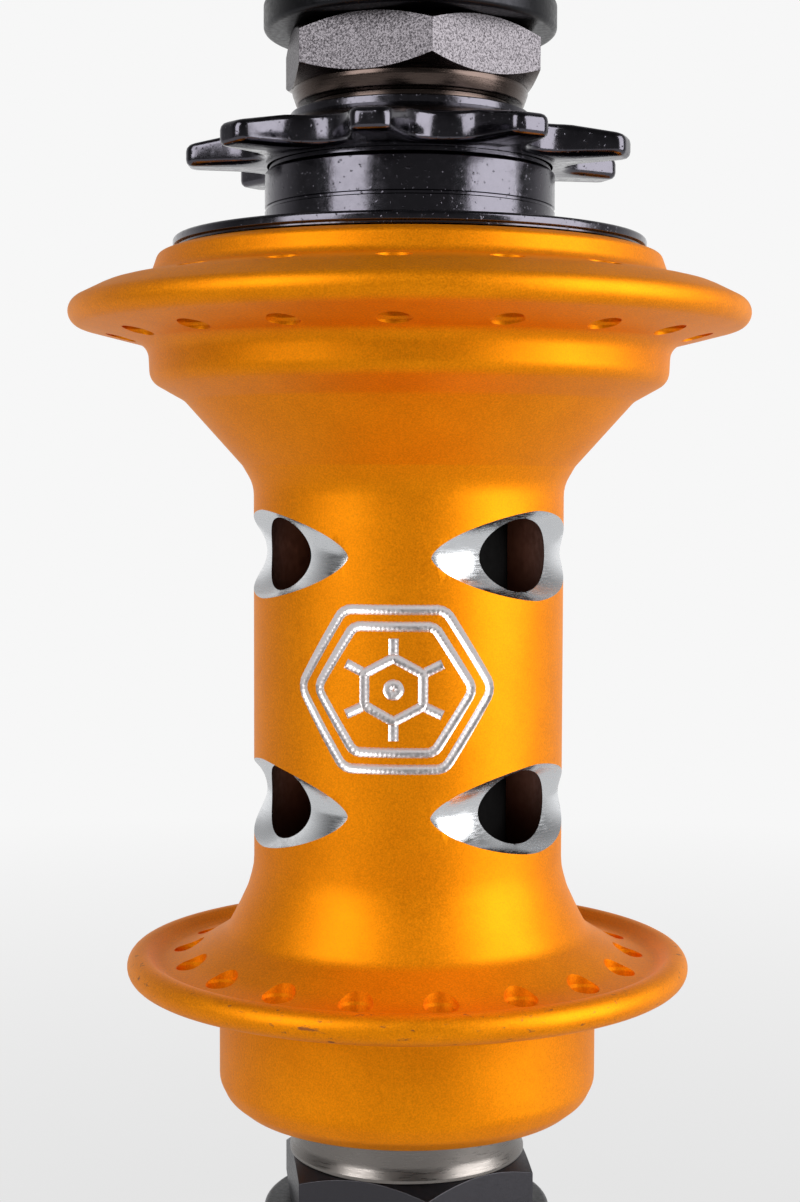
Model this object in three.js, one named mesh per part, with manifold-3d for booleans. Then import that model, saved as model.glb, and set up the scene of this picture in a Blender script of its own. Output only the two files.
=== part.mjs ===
// A rear bicycle hub for a small-wheeled bike, standing on the non-drive end of its axle.
// Millimetres, +Z up. The axle is the Z axis and the drive side is at the top.
// Heights in the profiles are measured from the middle of the hub; the group is lifted at the
// end so that the lower axle end rests on z = 0.
import * as THREE from 'three';
import { mergeVertices } from 'three/addons/utils/BufferGeometryUtils.js';
import Module from 'manifold-3d';

const wasm = await Module();
wasm.setup();

// Driving dimensions
const AXLE_LENGTH = 170;
const LOCKNUT_SPACING = 110; // between the outer faces of the two cone nuts
const AXLE_RADIUS = 7; // threaded ends
const AXLE_BODY_RADIUS = 7.5; // ground middle that carries the bearings
const BODY_RADIUS = 14.55; // outside of the hub shell between the flanges
const BORE_RADIUS = 12.9;
const SPOKES_PER_FLANGE = 18;
const SPOKE_HOLE_RADIUS = 1.3;
const COG_TEETH = 9;
const CHAIN_PITCH = 12.7;
const RATCHET_TEETH = 36;
const PAWLS = 4;

// Fits
const SLIP = 0.08; // parts that slide over the axle
const SEAT = 0.12; // bearing and ratchet ring seats
const RUN = 0.25; // parts that turn past each other
const WELD = 1e-4;

const FINE = 40; // segments round the shell
const ROUND = 20; // segments round everything inside it
const END = LOCKNUT_SPACING / 2;
const HALF_AXLE = AXLE_LENGTH / 2;

// Solids

function toSolid(geometry) {
  const bare = geometry.clone();
  bare.deleteAttribute('normal');
  bare.deleteAttribute('uv');
  const merged = mergeVertices(bare, WELD);
  const corners = merged.index.array;
  const kept = [];
  for (let i = 0; i < corners.length; i += 3) {
    const [a, b, c] = [corners[i], corners[i + 1], corners[i + 2]];
    if (a !== b && b !== c && c !== a) kept.push(a, b, c);
  }
  const vertProperties = new Float32Array(merged.attributes.position.array);
  const triVerts = new Uint32Array(kept);
  return new wasm.Manifold(new wasm.Mesh({ numProp: 3, vertProperties, triVerts }));
}

function toGeometry(solid) {
  const mesh = solid.getMesh();
  const geometry = new THREE.BufferGeometry();
  const corners = new Float32Array(mesh.vertProperties);
  geometry.setAttribute('position', new THREE.BufferAttribute(corners, 3));
  geometry.setIndex(new THREE.BufferAttribute(new Uint32Array(mesh.triVerts), 1));
  geometry.computeVertexNormals();
  return geometry;
}

// A ring or a plug turned round Z from a closed outline of [radius, height] points
function turned(outline, segments = ROUND) {
  let area = 0;
  outline.forEach(([r, z], i) => {
    const [nextR, nextZ] = outline[(i + 1) % outline.length];
    area += r * nextZ - nextR * z;
  });
  const ordered = area > 0 ? [...outline] : [...outline].reverse();
  ordered.push(ordered[0]);
  const points = ordered.map(([r, z]) => new THREE.Vector2(r, z));
  const geometry = new THREE.LatheGeometry(points, segments);
  geometry.rotateX(Math.PI / 2);
  return toSolid(geometry);
}

function ring(inner, outer, bottom, top, segments = ROUND) {
  return turned([[inner, bottom], [outer, bottom], [outer, top], [inner, top]], segments);
}

function plug(radius, bottom, top, segments = ROUND) {
  return turned([[0, bottom], [radius, bottom], [radius, top], [0, top]], segments);
}

// A flat outline pushed up from one height to another
function pushed(points, bottom, top) {
  const shape = new THREE.Shape(points.map(([x, y]) => new THREE.Vector2(x, y)));
  const geometry = new THREE.ExtrudeGeometry(shape, { depth: top - bottom, bevelEnabled: false });
  geometry.translate(0, 0, bottom);
  return toSolid(geometry);
}

function radians(degrees) {
  return THREE.MathUtils.degToRad(degrees);
}

function polar(radius, degrees) {
  return [radius * Math.cos(radians(degrees)), radius * Math.sin(radians(degrees))];
}

// Points along an arc, for an outline of [radius, height] or [x, y]
function arc([x, y], radius, from, to, steps) {
  return Array.from({ length: steps + 1 }, (_, i) => {
    const [dx, dy] = polar(radius, from + ((to - from) * i) / steps);
    return [x + dx, y + dy];
  });
}

// Hub shell: cross-section heights are from the middle of the hub
const SHELL_TOP = 34.8;
const SHELL_BOTTOM = -45.1;
const RATCHET_SEAT_FLOOR = 23.2;
const RATCHET_OUTER = 21.3;
const BEARING_OUTER = 14;
const DRIVE_FLANGE = { rim: 30.21, edge: 1.39, height: 29.09, holes: 26.9, phase: -2.9 };
const PLAIN_FLANGE = { rim: 25.13, edge: 1.36, height: -31.74, holes: 21.03, phase: 7.7 };
const WINDOW_ROWS = [7.0, -15.9];
const WINDOW = {
  count: 3,
  azimuth: 53,
  halfAngle: 45.4, // at the outside of the shell
  halfHeight: 4.05,
  holeAngle: 24.3, // at the bore
  holeHeight: 3.33,
};
const DRIVE_BEARING_SEAT = 14.2;
const PLAIN_BEARING_SEAT = -37;

function shellOutline() {
  const drive = [DRIVE_FLANGE.rim, DRIVE_FLANGE.height];
  const plain = [PLAIN_FLANGE.rim, PLAIN_FLANGE.height];
  return [
    [BEARING_OUTER + SEAT, SHELL_BOTTOM],
    [15.9, SHELL_BOTTOM],
    [17.15, -44.1],
    [17.83, -42.8],
    [17.83, -35],
    [19.3, -33.2],
    ...arc(plain, PLAIN_FLANGE.edge, -90, 115, 5),
    [23.6, -31.4],
    [20.8, -30.85],
    [17.1, -28.5],
    [15.4, -25.1],
    [BODY_RADIUS, -22.5],
    [BODY_RADIUS, 12.4],
    [14.9, 13.7],
    [15.6, 15.1],
    [21, 21.1],
    [23.2, 22.3],
    [24.1, 23.6],
    [24.3, 26],
    [26.1, 26.65],
    ...arc(drive, DRIVE_FLANGE.edge, -75, 60, 4),
    [28.4, 31.55],
    [25.4, 32.1],
    [24.05, 32.5],
    [23.4, 34.4],
    [22.3, SHELL_TOP],
    [RATCHET_OUTER + SEAT, SHELL_TOP],
    [RATCHET_OUTER + SEAT, RATCHET_SEAT_FLOOR],
    [BEARING_OUTER + SEAT, RATCHET_SEAT_FLOOR],
    [BEARING_OUTER + SEAT, DRIVE_BEARING_SEAT],
    [BORE_RADIUS, DRIVE_BEARING_SEAT],
    [BORE_RADIUS, PLAIN_BEARING_SEAT],
    [BEARING_OUTER + SEAT, PLAIN_BEARING_SEAT],
  ];
}

// Angle from straight ahead (-Y), growing towards +X, as a point on the shell
function onShell(radius, azimuth, height) {
  const turn = radians(azimuth);
  return [radius * Math.sin(turn), -radius * Math.cos(turn), height];
}

// A window is an almond: wide at the outside of the shell, and tapering to its through hole
function windowCutter(azimuth, height) {
  const levels = [
    { radius: BORE_RADIUS - 3, angle: WINDOW.holeAngle, half: WINDOW.holeHeight },
    { radius: BORE_RADIUS, angle: WINDOW.holeAngle, half: WINDOW.holeHeight },
    { radius: BODY_RADIUS, angle: WINDOW.halfAngle, half: WINDOW.halfHeight },
    { radius: BODY_RADIUS + 1.5, angle: WINDOW.halfAngle + 4, half: WINDOW.halfHeight + 0.5 },
  ];
  const sides = 12;
  const power = 2 / 1.6;
  const positions = [];
  for (const level of levels) {
    for (let i = 0; i < sides; i += 1) {
      const [c, s] = polar(1, (360 * i) / sides);
      const across = Math.sign(c) * Math.abs(c) ** power * level.angle;
      const up = Math.sign(s) * Math.abs(s) ** power * level.half;
      positions.push(...onShell(level.radius, azimuth + across, height + up));
    }
  }
  const first = positions.length / 3;
  const last = first + 1;
  positions.push(...onShell(levels[0].radius, azimuth, height));
  positions.push(...onShell(levels.at(-1).radius, azimuth, height));
  const index = [];
  for (let i = 0; i < sides; i += 1) {
    const next = (i + 1) % sides;
    for (let level = 0; level < levels.length - 1; level += 1) {
      const low = level * sides;
      const high = low + sides;
      index.push(low + i, low + next, high + next, low + i, high + next, high + i);
    }
    const outer = (levels.length - 1) * sides;
    index.push(first, next, i, last, outer + i, outer + next);
  }
  const geometry = new THREE.BufferGeometry();
  geometry.setAttribute('position', new THREE.BufferAttribute(new Float32Array(positions), 3));
  geometry.setIndex(index);
  return toSolid(geometry);
}

function spokeHole(flange, index) {
  const azimuth = flange.phase + (360 / SPOKES_PER_FLANGE) * index;
  const [x, y] = onShell(flange.holes, azimuth, 0);
  const drill = new THREE.CylinderGeometry(SPOKE_HOLE_RADIUS, SPOKE_HOLE_RADIUS, 14, 6);
  drill.rotateX(Math.PI / 2);
  drill.translate(x, y, flange.height);
  return toSolid(drill);
}

function hubShell() {
  let shell = turned(shellOutline(), FINE);
  for (const height of WINDOW_ROWS) {
    for (let i = 0; i < WINDOW.count; i += 1) {
      shell = shell.subtract(windowCutter(WINDOW.azimuth + (360 / WINDOW.count) * i, height));
    }
  }
  for (const flange of [DRIVE_FLANGE, PLAIN_FLANGE]) {
    for (let i = 0; i < SPOKES_PER_FLANGE; i += 1) {
      shell = shell.subtract(spokeHole(flange, i));
    }
  }
  return shell;
}

// Ratchet: the ring turns with the shell, and the pawls turn with the driver
const RATCHET = { root: 18.6, tip: 17.4, bottom: 24, top: 33.6 };
const CARRIER_RADIUS = 17;
const PAWL = {
  hinge: 14.6,
  hingeAngle: 24,
  tip: 18,
  tipAngle: 3.4,
  boss: 1.4,
  bottom: 24.4,
  top: 33.2,
};

function ratchetRing() {
  const pitch = 360 / RATCHET_TEETH;
  const teeth = [];
  for (let i = 0; i < RATCHET_TEETH; i += 1) {
    teeth.push(polar(RATCHET.root, i * pitch), polar(RATCHET.tip, (i + 1) * pitch));
  }
  const blank = ring(RATCHET.tip - 2, RATCHET_OUTER, RATCHET.bottom, RATCHET.top, FINE);
  return blank.subtract(pushed(teeth, RATCHET.bottom - 1, RATCHET.top + 1));
}

// A pawl's own frame: origin at its hinge, x towards its tip, y outwards
const HINGE = polar(PAWL.hinge, PAWL.hingeAngle);
const TIP = polar(PAWL.tip, PAWL.tipAngle);
const PAWL_REACH = Math.hypot(TIP[0] - HINGE[0], TIP[1] - HINGE[1]);
const PAWL_TURN = Math.atan2(TIP[1] - HINGE[1], TIP[0] - HINGE[0]);

function inPawlFrame(solid, index) {
  const placed = new THREE.Matrix4().makeRotationZ(radians((360 / PAWLS) * index));
  placed.multiply(new THREE.Matrix4().makeTranslation(HINGE[0], HINGE[1], 0));
  placed.multiply(new THREE.Matrix4().makeRotationZ(PAWL_TURN));
  return solid.transform(placed.elements);
}

function pawl(index) {
  const outline = [
    ...arc([0, 0], PAWL.boss, 90, 270, 6),
    [PAWL_REACH + 0.18, -2],
    [PAWL_REACH, 0],
    [5.2, 0.2],
    [4, 0.9],
  ];
  return inPawlFrame(pushed(outline, PAWL.bottom, PAWL.top), index);
}

function pawlPocket(index) {
  const socket = arc([0, 0], PAWL.boss + 0.2, 0, 345, 11);
  const room = [[0.3, 1.5], [0.3, -1.9], [3, -2.95], [7.4, -4], [7.4, 4], [2, 4]];
  const [bottom, top] = [RATCHET.bottom - 1, RATCHET.top];
  return inPawlFrame(pushed(socket, bottom, top).add(pushed(room, bottom, top)), index);
}

// A flat leaf, bent once, that lies on the floor of the pocket and lifts the pawl
function pawlSpring(index) {
  const leaf = [[2.3, -2.5], [3.1, -2.8], [7.2, -3.85], [7.2, -3.6], [3.2, -2.55]];
  return inPawlFrame(pushed(leaf, PAWL.bottom + 2, PAWL.top - 2), index);
}

// Driver: sprocket, tube and pawl carrier in one piece
const DRIVER = {
  bottom: 24,
  carrierTop: 34,
  tube: 13.5,
  cogBottom: 42.75,
  cogTop: 45.6,
  lip: 11.15,
  top: 47.6,
};
const DRIVER_BEARING_OUTER = 12;
const DRIVER_SHOULDER = 45.5;
const SLEEVE_RADIUS = 9.3;

function cogOutline() {
  const pitchRadius = CHAIN_PITCH / (2 * Math.sin(Math.PI / COG_TEETH));
  const rollerSeat = 3.95;
  const tipRadius = 20.78;
  const tipHalfAngle = 4.5;
  const toothAngle = 360 / COG_TEETH;
  const points = [];
  for (let i = 0; i < COG_TEETH; i += 1) {
    // the first tooth points 9.8 degrees to the -X side of straight ahead
    const valley = -90 - 9.8 + toothAngle * (i + 0.5);
    points.push(...arc(polar(pitchRadius, valley), rollerSeat, valley + 242, valley + 118, 6));
    const tooth = valley + toothAngle / 2;
    points.push(...arc([0, 0], tipRadius, tooth - tipHalfAngle, tooth + tipHalfAngle, 2));
  }
  return points;
}

function driver() {
  let body = turned([
    [DRIVER_BEARING_OUTER + SEAT, DRIVER.bottom],
    [CARRIER_RADIUS, DRIVER.bottom],
    [CARRIER_RADIUS, DRIVER.carrierTop],
    [DRIVER.tube, DRIVER.carrierTop],
    [DRIVER.tube, DRIVER.cogTop],
    [DRIVER.lip + 0.3, DRIVER.cogTop + 1.2],
    [DRIVER.lip, DRIVER.cogTop + 1.3],
    [DRIVER.lip, DRIVER.top],
    [SLEEVE_RADIUS + 0.45, DRIVER.top],
    [SLEEVE_RADIUS + 0.45, DRIVER_SHOULDER],
    [DRIVER_BEARING_OUTER + SEAT, DRIVER_SHOULDER],
  ]);
  // the teeth thin towards their tips, on the top face only
  const taper = turned([
    [0, DRIVER.cogBottom],
    [22, DRIVER.cogBottom],
    [22, DRIVER.cogTop - 1.1],
    [16, DRIVER.cogTop],
    [0, DRIVER.cogTop],
  ]);
  const cog = pushed(cogOutline(), DRIVER.cogBottom, DRIVER.cogTop).intersect(taper);
  body = body.add(cog.subtract(plug(DRIVER_BEARING_OUTER + 0.7, DRIVER.bottom, DRIVER.top)));
  for (let i = 0; i < PAWLS; i += 1) {
    body = body.subtract(pawlPocket(i));
  }
  return body;
}

// Cartridge bearings: every one has two races, its balls in their cage, and a seal on each side
const BALLS = 7;
const BEARINGS = [
  { name: 'shell_plain_bearing', outer: BEARING_OUTER, width: 7, bottom: -44 },
  { name: 'shell_drive_bearing', outer: BEARING_OUTER, width: 7, bottom: 14.3 },
  { name: 'driver_inner_bearing', outer: DRIVER_BEARING_OUTER, width: 5, bottom: 24.6 },
  { name: 'driver_outer_bearing', outer: DRIVER_BEARING_OUTER, width: 5, bottom: 40.4 },
];

function bearingSizes(bearing) {
  const pitch = (AXLE_BODY_RADIUS + SLIP + bearing.outer) / 2;
  const ball = 0.27 * (bearing.outer - AXLE_BODY_RADIUS);
  const top = bearing.bottom + bearing.width;
  const middle = bearing.bottom + bearing.width / 2;
  return { pitch, ball, top, middle };
}

function innerRace(bearing) {
  const { pitch, ball, top, middle } = bearingSizes(bearing);
  const shoulder = pitch - 0.55 * ball;
  const groove = pitch - ball - RUN;
  return turned([
    [AXLE_BODY_RADIUS + SLIP, bearing.bottom],
    [shoulder, bearing.bottom],
    [shoulder, middle - ball],
    [groove, middle - 0.3 * ball],
    [groove, middle + 0.3 * ball],
    [shoulder, middle + ball],
    [shoulder, top],
    [AXLE_BODY_RADIUS + SLIP, top],
  ]);
}

function outerRace(bearing) {
  const { pitch, ball, top, middle } = bearingSizes(bearing);
  const shoulder = pitch + 0.55 * ball;
  const groove = pitch + ball + RUN;
  return turned([
    [bearing.outer, bearing.bottom],
    [bearing.outer, top],
    [shoulder, top],
    [shoulder, middle + ball],
    [groove, middle + 0.3 * ball],
    [groove, middle - 0.3 * ball],
    [shoulder, middle - ball],
    [shoulder, bearing.bottom],
  ]);
}

function ballCage(bearing) {
  const { pitch, ball, middle } = bearingSizes(bearing);
  const wall = 0.25 * ball;
  const half = 0.8 * ball;
  let cage = ring(pitch - wall, pitch + wall, middle - half, middle + half, 2 * BALLS);
  for (let i = 0; i < BALLS; i += 1) {
    const sphere = new THREE.SphereGeometry(ball, 6, 4);
    sphere.rotateX(Math.PI / 2);
    const [x, y] = polar(pitch, (360 / BALLS) * i);
    sphere.translate(x, y, middle);
    cage = cage.add(toSolid(sphere));
  }
  return cage;
}

function seal(bearing, atTop) {
  const { pitch, ball, top } = bearingSizes(bearing);
  const thickness = 0.4;
  const recess = 0.1;
  const height = atTop ? top - recess - thickness : bearing.bottom + recess;
  return ring(pitch - 0.55 * ball + RUN, pitch + 0.55 * ball - 0.12, height, height + thickness);
}

// Axle, nuts and spacers
const NUT_CORNER = 12.7; // 22 mm across flats
const NUT_FACE = 49.83; // inner face of both hexagons
const WASHER = { radius: 13.59, thickness: 2.9 };
const AXLE_NUT = { corner: 17 / Math.sqrt(3), height: 10 };

function axle() {
  const thread = AXLE_RADIUS;
  const step = 45.4;
  return turned([
    [0, -HALF_AXLE],
    [thread - 0.8, -HALF_AXLE],
    [thread, -HALF_AXLE + 0.8],
    [thread, -step + 1],
    [AXLE_BODY_RADIUS, -step + 1],
    [AXLE_BODY_RADIUS, step],
    [thread, step],
    [thread, HALF_AXLE - 0.8],
    [thread - 0.8, HALF_AXLE],
    [0, HALF_AXLE],
  ]);
}

// Six flats between two heights, with 30 degree chamfers on both ends
function hexagon(corner, bottom, top, firstCorner) {
  const corners = Array.from({ length: 6 }, (_, i) => polar(corner, firstCorner + 60 * i));
  const flats = pushed(corners, bottom, top);
  const face = corner * 0.86;
  const drop = (corner + 0.4 - face) * Math.tan(radians(30));
  const chamfers = turned([
    [0, bottom],
    [face, bottom],
    [corner + 0.4, bottom + drop],
    [corner + 0.4, top - drop],
    [face, top],
    [0, top],
  ]);
  return flats.intersect(chamfers);
}

const CORNER_AZIMUTH = -90 + 8.4;

function driveConeNut() {
  const hexPart = hexagon(NUT_CORNER, NUT_FACE, END, CORNER_AZIMUTH);
  const collar = turned([
    [0, DRIVER_SHOULDER - 0.1],
    [SLEEVE_RADIUS, DRIVER_SHOULDER - 0.1],
    [SLEEVE_RADIUS, 48.36],
    [10.6, 48.36],
    [11.1, 49.6],
    [11.1, NUT_FACE + 0.4],
    [0, NUT_FACE + 0.4],
  ]);
  return hexPart.add(collar).subtract(plug(AXLE_RADIUS + SLIP, 40, 60));
}

function bored(solid, radius) {
  return solid.subtract(plug(radius, -HALF_AXLE, HALF_AXLE));
}

function plainSpacer() {
  return turned([
    [AXLE_RADIUS + SLIP, -NUT_FACE],
    [11.15, -NUT_FACE],
    [11.15, -49.3],
    [10.8, -47.6],
    [10.8, -44.5],
    [SLEEVE_RADIUS, -44.5],
    [SLEEVE_RADIUS, -44.4],
    [AXLE_RADIUS + SLIP, -44.4],
  ]);
}

function washer(bottom) {
  const edge = 0.5;
  const { radius, thickness } = WASHER;
  return turned([
    [AXLE_RADIUS + SLIP, bottom],
    [radius - edge, bottom],
    [radius, bottom + edge],
    [radius, bottom + thickness - edge],
    [radius - edge, bottom + thickness],
    [AXLE_RADIUS + SLIP, bottom + thickness],
  ]);
}

function sleeve(bottom, top) {
  return ring(AXLE_BODY_RADIUS + SLIP, SLEEVE_RADIUS, bottom, top);
}

// Finishes
const FINISHES = {
  shell: { color: 0xe07c10, roughness: 0.45, metalness: 0.8 },
  black: { color: 0x111113, roughness: 0.25, metalness: 0.5 },
  steel: { color: 0x3c3b3e, roughness: 0.5, metalness: 0.9 },
  bright: { color: 0xb8b8b8, roughness: 0.3, metalness: 1 },
  rubber: { color: 0x18181a, roughness: 0.8, metalness: 0 },
};

const hub = new THREE.Group();

function piece(name, solid, finish) {
  const mesh = new THREE.Mesh(toGeometry(solid), new THREE.MeshStandardMaterial(FINISHES[finish]));
  mesh.name = name;
  hub.add(mesh);
}

piece('hub_shell', hubShell(), 'shell');
piece('ratchet_ring', ratchetRing(), 'bright');
piece('driver', driver(), 'black');
piece('driver_dust_shield', ring(DRIVER.tube + 0.1, 22, 35.02, 36.06, FINE), 'black');
piece('pawl_retainer', ring(DRIVER_BEARING_OUTER + 0.4, CARRIER_RADIUS - 0.2, 23.45, 23.95), 'steel');
for (let i = 0; i < PAWLS; i += 1) {
  piece(`pawl_${i + 1}`, pawl(i), 'steel');
  piece(`pawl_spring_${i + 1}`, pawlSpring(i), 'bright');
}
for (const bearing of BEARINGS) {
  piece(`${bearing.name}_inner_race`, innerRace(bearing), 'bright');
  piece(`${bearing.name}_outer_race`, outerRace(bearing), 'bright');
  piece(`${bearing.name}_ball_cage`, ballCage(bearing), 'bright');
  piece(`${bearing.name}_lower_seal`, seal(bearing, false), 'rubber');
  piece(`${bearing.name}_upper_seal`, seal(bearing, true), 'rubber');
}
piece('axle', axle(), 'steel');
piece('centre_sleeve', sleeve(-37, 14.3), 'bright');
piece('driver_stop_sleeve', sleeve(21.3, 24.6), 'bright');
piece('driver_bearing_sleeve', sleeve(29.6, 40.4), 'bright');
piece('drive_cone_nut', driveConeNut(), 'steel');
const plainConeNut = hexagon(NUT_CORNER, -END, -NUT_FACE, CORNER_AZIMUTH);
piece('plain_cone_nut', bored(plainConeNut, AXLE_RADIUS + SLIP), 'steel');
piece('plain_spacer', plainSpacer(), 'bright');
piece('drive_axle_washer', washer(END), 'black');
piece('plain_axle_washer', washer(-END - WASHER.thickness), 'black');
const nutFace = END + WASHER.thickness;
const driveNut = hexagon(AXLE_NUT.corner, nutFace, nutFace + AXLE_NUT.height, CORNER_AZIMUTH);
const plainNut = hexagon(AXLE_NUT.corner, -nutFace - AXLE_NUT.height, -nutFace, CORNER_AZIMUTH);
piece('drive_axle_nut', bored(driveNut, AXLE_RADIUS + SLIP), 'black');
piece('plain_axle_nut', bored(plainNut, AXLE_RADIUS + SLIP), 'black');

hub.position.z = HALF_AXLE;

export default hub;
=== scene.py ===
# %% [markdown]
# A rear bicycle hub for a small-wheeled bike, standing on the non-drive end of its axle.
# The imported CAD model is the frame: it says which bodies there are, how they turn, and how big
# every piece is. This lesson builds a finer surface for each visible piece, gives it the finish
# of the real one, and lets it ride on the body that moves it.

# %% Load the frame
import math
import bpy
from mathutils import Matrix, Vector


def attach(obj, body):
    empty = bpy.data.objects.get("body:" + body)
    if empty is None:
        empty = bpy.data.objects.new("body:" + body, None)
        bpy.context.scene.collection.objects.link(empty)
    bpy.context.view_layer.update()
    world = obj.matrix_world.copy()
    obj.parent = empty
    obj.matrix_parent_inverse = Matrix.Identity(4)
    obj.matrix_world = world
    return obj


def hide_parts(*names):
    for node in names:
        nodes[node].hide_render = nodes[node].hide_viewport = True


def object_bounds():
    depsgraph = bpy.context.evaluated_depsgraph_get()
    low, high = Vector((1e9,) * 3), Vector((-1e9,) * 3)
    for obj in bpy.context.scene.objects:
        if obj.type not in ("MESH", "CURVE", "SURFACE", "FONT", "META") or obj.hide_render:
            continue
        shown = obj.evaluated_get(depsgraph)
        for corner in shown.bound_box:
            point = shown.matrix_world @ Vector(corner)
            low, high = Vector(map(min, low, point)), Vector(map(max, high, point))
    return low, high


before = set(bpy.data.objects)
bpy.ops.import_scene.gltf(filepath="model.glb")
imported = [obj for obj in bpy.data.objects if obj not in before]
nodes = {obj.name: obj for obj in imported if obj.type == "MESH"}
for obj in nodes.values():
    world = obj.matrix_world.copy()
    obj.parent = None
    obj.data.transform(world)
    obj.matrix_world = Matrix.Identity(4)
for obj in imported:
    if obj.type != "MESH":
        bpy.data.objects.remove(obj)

cad_low, cad_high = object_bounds()

# %% [markdown]
# The whole hub is drawn round one axis, so it is easiest to think in millimetres, with heights
# measured from the middle of the axle. Two helpers turn those into Blender's metres: `point`
# for a radius, an azimuth and a height, and `reach` to read a CAD piece's own sizes.

# %% Sizes and places
MM = 0.001
MIDDLE = (cad_low.z + cad_high.z) / 2
FULL_TURN = 2 * math.pi


def point(radius, azimuth, height):
    """A place in metres. The azimuth is in radians from straight ahead (-Y) towards +X."""
    return Vector((radius * MM * math.sin(azimuth), -radius * MM * math.cos(azimuth),
                   MIDDLE + height * MM))


def reach(node):
    """(inner radius, outer radius, bottom, top) of a CAD piece in millimetres."""
    corners = [v.co for v in nodes[node].data.vertices]
    spans = [math.hypot(c.x, c.y) / MM for c in corners]
    heights = [(c.z - MIDDLE) / MM for c in corners]
    return min(spans), max(spans), min(heights), max(heights)


print("axle (mm):", [round(value, 2) for value in reach("axle")])

# %% [markdown]
# ## The camera
# A macro lens about 19 cm away looks slightly down on the hub. At that distance perspective is
# strong: the near side of the small flange hangs well below its far side. The axle's ends fall
# outside the view, because what matters most is the middle.

# %% Camera
CAMERA_PLACE = Vector((-0.83, -188.5, 98.4)) * MM
PITCH_DOWN = 0.0583
ROLL = 0.00306
view = bpy.data.cameras.new("camera")
view.sensor_width = 36
view.lens = 59.9
view.clip_start = 0.01
camera = bpy.data.objects.new("camera", view)
camera.location = CAMERA_PLACE
camera.rotation_euler = (math.pi / 2 - PITCH_DOWN, -ROLL, 0)
bpy.context.collection.objects.link(camera)
bpy.context.scene.camera = camera
print("lens:", view.lens, "mm")

# %% [markdown]
# ## Materials
# Every finish is a Principled shader with a few texture nodes in front of it. The nodes could be
# wired by hand in the shader editor. Here a small function adds one with its settings and links,
# another turns a paint-chart colour (sRGB) into the linear values that the shader wants, and a
# third starts a material. Patterns are measured in object space, so their scale is a real size:
# `per(0.2)` is the noise scale whose grains are 0.2 mm across.

# %% Shader helpers
def linear(code):
    """A hex sRGB colour as linear RGBA."""
    channels = [int(code[i:i + 2], 16) / 255 for i in (1, 3, 5)]
    return [c / 12.92 if c <= 0.04045 else ((c + 0.055) / 1.055) ** 2.4 for c in channels] + [1]


def per(millimetres):
    return 1 / (millimetres * MM)


def plug(owner, node, sockets):
    """Sets a node's sockets to plain values, or links them to another node's output."""
    for name, value in sockets.items():
        socket = node.inputs[name] if isinstance(name, int) else next(
            s for s in node.inputs if s.name == name and s.enabled)
        if isinstance(value, bpy.types.Node):
            value = next(s for s in value.outputs if s.enabled)
        if isinstance(value, bpy.types.NodeSocket):
            owner.node_tree.links.new(value, socket)
        else:
            socket.default_value = value


def add(owner, kind, sockets=None, **settings):
    """Adds one shader node to a material or the world, with its settings and links."""
    new = owner.node_tree.nodes.new("ShaderNode" + kind)
    for name, value in settings.items():
        setattr(new, name, value)
    plug(owner, new, sockets or {})
    return new


print("sRGB #808080 is linear", round(linear("#808080")[0], 3))

# %% [markdown]
# Most of these surfaces share one thing: the tool, the blasting or the coat leaves a fine grain,
# which varies the gloss and dents the surface a little. An image could carry it, but a noise of
# a real size has no seams and no limit of resolution. Tool lines are the same noise, squeezed
# along the axis. So one function starts a finish with such a grain, and gives it back for more.

# %% Finishes with a grain
def finish(name, colour, metallic, roughness):
    """A new material and its Principled shader."""
    material = bpy.data.materials.new(name)
    material.use_nodes = True
    shader = material.node_tree.nodes["Principled BSDF"]
    plug(material, shader, {"Base Color": linear(colour), "Metallic": metallic,
                            "Roughness": roughness})
    print("finish:", name)
    return material, shader


def grained(name, colour, metallic, gloss, size, detail=3, squeeze=1, dent=0.0, strength=0.6):
    """A finish whose roughness wanders over `gloss` with a noise of `size` mm, `dent` mm deep."""
    material, shader = finish(name, colour, metallic, sum(gloss) / 2)
    where = add(material, "TexCoord").outputs["Object"]
    if squeeze != 1:
        where = add(material, "Mapping", {"Vector": where, "Scale": (1, 1, squeeze)})
    grain = add(material, "TexNoise", {"Vector": where, "Scale": per(size), "Detail": detail,
                                       "Roughness": 0.6})
    wander = add(material, "MapRange", {"Value": grain, "From Min": 0.3, "From Max": 0.7,
                                        "To Min": gloss[0], "To Max": gloss[1]})
    plug(material, shader, {"Roughness": wander})
    if dent:
        plug(material, shader, {"Normal": add(material, "Bump", {
            "Height": grain, "Distance": dent * MM, "Strength": strength})})
    return material, shader, grain


print("a grain of 0.2 mm is a noise scale of", round(per(0.2)))

# %% [markdown]
# The shell is aluminium, blasted with fine beads and then anodised orange. The dye sits in clear
# oxide on the metal, so it tints the metal's own reflection: deep orange where it reflects dark,
# yellow-orange in a highlight. A metallic orange does both. It stops short of fully metallic,
# with a low specular level, so that the shadows keep some colour. Real blasting dents are under
# 0.1 mm across; these are drawn at 0.16 mm so that they show as a sparkle in the highlights.

# %% Orange anodised aluminium
DENT = 0.16
orange_anodised, orange_shader, dents = grained(
    "bead-blasted orange anodised aluminium", "#f28c06", 0.78, (0.46, 0.58), DENT, dent=0.012,
    strength=0.5)
plug(orange_anodised, orange_shader, {"Specular IOR Level": 0.12})

# %% [markdown]
# Dye is never quite even. It varies in soft clouds a few millimetres wide, and a little from dent
# to dent. Two noises are mixed into one pattern, which then blends two close oranges.

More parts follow.
